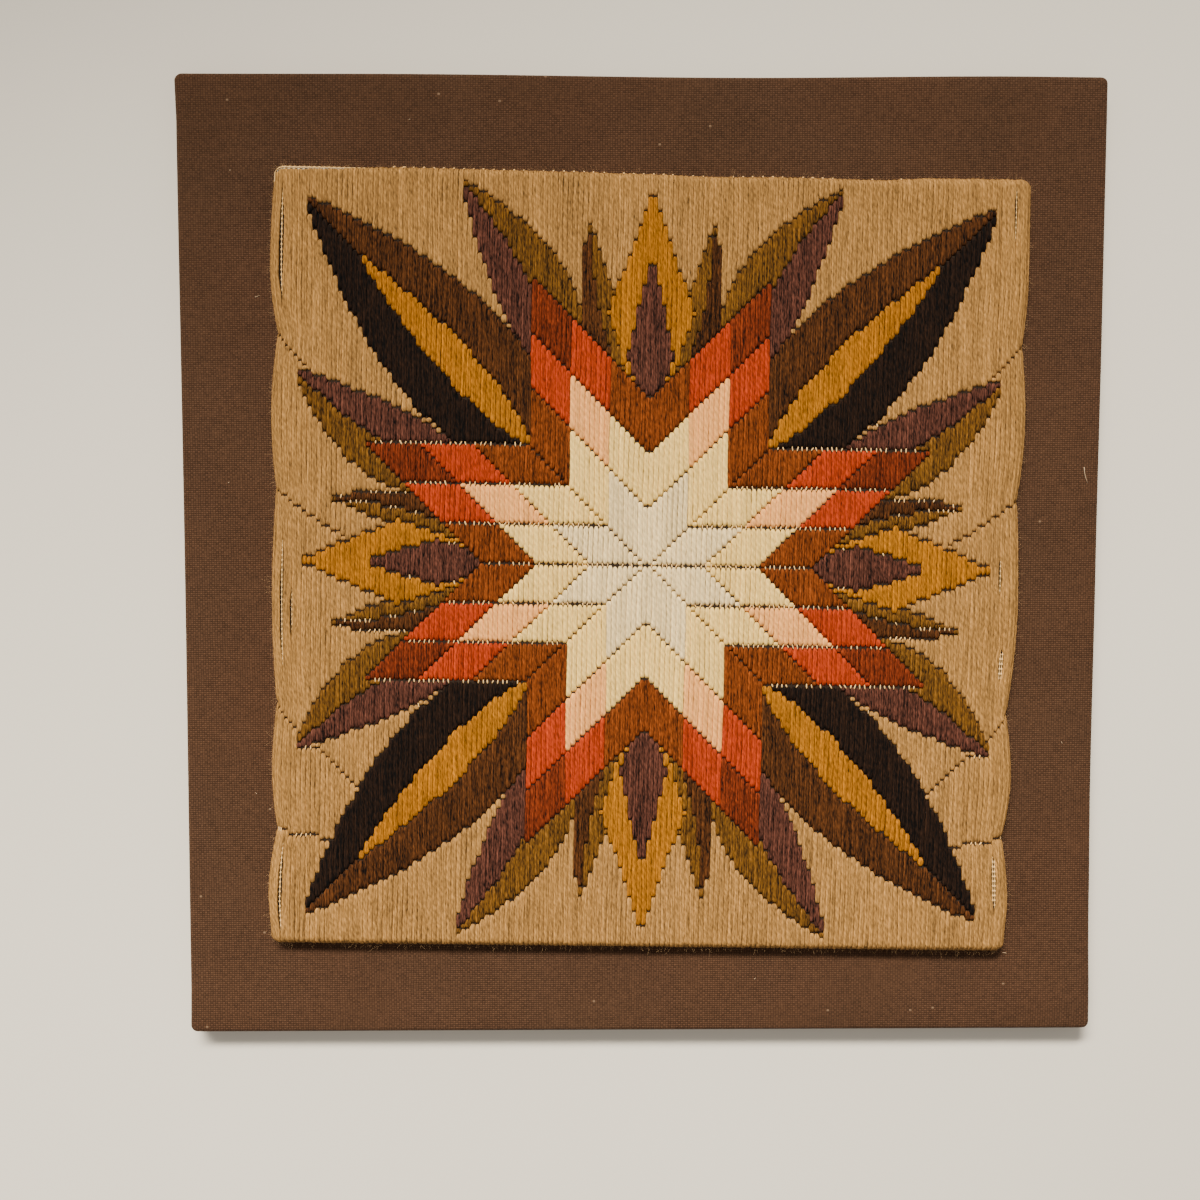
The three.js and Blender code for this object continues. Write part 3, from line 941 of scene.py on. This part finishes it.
dash_border, dash_row = np.nonzero(pinched_ends[:-1] & pinched_ends[1:])
shown = dice.uniform(0, 1, len(dash_border)) < dashes_shown
dash_border, dash_row = dash_border[shown], dash_row[shown]
dash_middle = chart_low + dash_row * row_pitch
edge_border = np.arange(26, 134, 2)
edge_border = edge_border[dice.uniform(0, 1, len(edge_border)) < dots_shown]
dash_border = np.concatenate((dash_border, edge_border))
dash_middle = np.concatenate((dash_middle, np.full(len(edge_border), top_line + dot_above_line)))
is_dot = np.arange(len(dash_border)) >= len(dash_border) - len(edge_border)
dash_level = np.where(is_dot, dot_level, thread_level)[:, None]
dash_share = np.linspace(-1, 1, len(dash_profile))
dash_half = dash_length / 2 * dice.uniform(0.6, 1.1, len(dash_border))[:, None]
dash_along = dash_middle[:, None] + dash_half * dash_share
dash_lean = dice.normal(0, dash_lean_spread, len(dash_border))[:, None] * dash_share
dash_stitch = (dash_border + dice.normal(0, dash_shift_spread, len(dash_border)))[:, None] + dash_lean
dash_girth = dice.uniform(0.75, 1.1, len(dash_border)) * np.where(is_dot, dot_girth, 1.0)
dash_radius = thread_radius * dash_girth[:, None] * dash_profile
dash_threads = canvas_threads(dash_stitch, dash_along, dash_radius, dash_level)

edge_walk = np.concatenate((np.linspace(0, 3, 40)[:-1], np.linspace(3, 5, 110)))
edge_stitch = np.interp(edge_walk, np.arange(6), edge_path["stitch"])
edge_along = top_line - np.interp(edge_walk, np.arange(6), edge_path["below_top"]) - edge_rows[:, None]
edge_stitch = np.broadcast_to(edge_stitch, edge_along.shape)
edge_thinning = 1 - 0.6 * edge_walk / 5 * (edge_rows[:, None] > 0)
edge_girth = np.interp(edge_stitch, (0, 11, 21), (1.25, 1.1, 0.4)) * edge_thinning
edge_radius = beaded(thread_radius * edge_girth, edge_stitch)
edge_threads = canvas_threads(edge_stitch, edge_along, edge_radius, thread_level)

thread_points, thread_faces = [], []
for points, faces in (slit_threads, dash_threads, edge_threads):
    thread_faces += [part + sum(len(made) for made in thread_points) for part in faces]
    thread_points.append(points)
bare_threads = new_piece("bare_canvas_threads", np.concatenate(thread_points), thread_faces, {})


def thread_material():
    """White cotton, a little uneven in tone."""
    material, start = new_material("white_cotton")
    place = start.node("TexCoord", {}, {}, "Object")
    uneven = place.node("TexNoise", {}, {"Vector": place, "Scale": 900.0, "Detail": 2.0})
    white = uneven.blend(paint(232, 184, 116), paint(*thread_colour))
    surface = uneven.node("BsdfPrincipled", {}, {"Base Color": white, "Roughness": 0.9})
    uneven.node("OutputMaterial", {}, {"Surface": surface})
    return material


bare_threads.data.materials.append(thread_material())
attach(bare_threads, "root")


# Wool fuzz
# Fine fibres that have worked loose from the wool and stand out from the rim of the panel. Each is still
# held at its root by the stitch that it came from.
fuzz_count = 2400
fuzz_radius = 0.000035
fuzz_colour = (196, 156, 108)
rim_inset = 0.6
rim_end = 0.003
way_spread = 0.55
curl_spread = 0.6
shortest_fuzz = 0.0006

rim_share = dice.uniform(0, 1, fuzz_count)
rim_side = dice.integers(0, 4, fuzz_count)
rim_across = rim_share * stitches_across
rim_up = chart_low + rim_share * (chart_high - chart_low)
rim_stitch = np.choose(rim_side, (rim_inset, stitches_across - rim_inset, rim_across, rim_across))
rim_along = np.choose(rim_side, (rim_up, rim_up, chart_low + rim_end, chart_high - rim_end))
fuzz_roots = panel_point(rim_stitch, rim_along)
rim_away = (panel_point(rim_stitch, rim_along, 0.001) - fuzz_roots) * 1000
fuzz_ways = rim_away + dice.normal(0, way_spread, (fuzz_count, 3))
fuzz_ways[:, 2] = np.abs(fuzz_ways[:, 2]) * 0.6
fuzz_ways /= np.linalg.norm(fuzz_ways, axis=-1, keepdims=True)
fuzz_curls = dice.normal(0, curl_spread, (fuzz_count, 3)) * (1, 1, 0.4)
fuzz_lengths = dice.gamma(2.2, 0.0006, fuzz_count) + shortest_fuzz
fuzz_points, fuzz_faces = hair_tubes(fuzz_roots, fuzz_ways, fuzz_curls, fuzz_lengths, fuzz_radius)
fuzz_points[:, 2] = np.maximum(fuzz_points[:, 2], board_high.z + panel_gap)
fuzz = new_piece("wool_fuzz", fuzz_points, fuzz_faces, {})
fuzz.data.materials.append(plain_material("loose_wool", fuzz_colour))
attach(fuzz, "root")


# Floor and light
# A plain pale floor under the piece, one broad soft lamp from beyond the picture's upper left whose light
# fades a little towards the top, and an even pale surround.
floor_half = 12.0
floor_corners = np.array(((-1, -1, 0), (1, -1, 0), (1, 1, 0), (-1, 1, 0))) * floor_half
floor = new_piece("floor", floor_corners, [np.array(((0, 1, 2, 3),))], {})
floor_material, floor_start = new_material("pale_floor")
floor_place = floor_start.node("TexCoord", {}, {}, "Object")
floor_grain = floor_place.node("TexNoise", {}, {"Vector": floor_place, "Scale": 3.0})
floor_colour = floor_grain.blend(paint(242, 231, 212), paint(247, 238, 221))
floor_surface = floor_grain.node("BsdfPrincipled", {}, {"Base Color": floor_colour, "Roughness": 0.6})
floor_grain.node("OutputMaterial", {}, {"Surface": floor_surface})
floor.data.materials.append(floor_material)


def soft_light(name, place, target, width, depth, spread, watts, colour):
    """A broad rectangular lamp at place that faces target. A grid narrows its spread, in degrees."""
    light = bpy.data.objects.new(name, bpy.data.lights.new(name, "AREA"))
    light.data.shape = "RECTANGLE"
    light.data.size = width
    light.data.size_y = depth
    light.data.spread = math.radians(spread)
    light.data.energy = watts
    light.data.color = colour
    light.location = place
    light.rotation_euler = (Vector(target) - Vector(place)).to_track_quat("-Z", "Y").to_euler()
    scene.collection.objects.link(light)


soft_light(
    "light_above", place=(-0.60, 1.15, 1.35), target=(-0.14, -0.60, 0.0), width=2.0, depth=0.3, spread=51.0,
    watts=16.4, colour=(1.0, 0.95, 0.86),
)
surround = bpy.data.worlds.new("surround")
surround.use_nodes = True
surround.node_tree.nodes["Background"].inputs["Color"].default_value = (1.0, 0.97, 0.93, 1.0)
surround.node_tree.nodes["Background"].inputs["Strength"].default_value = 0.40
scene.world = surround
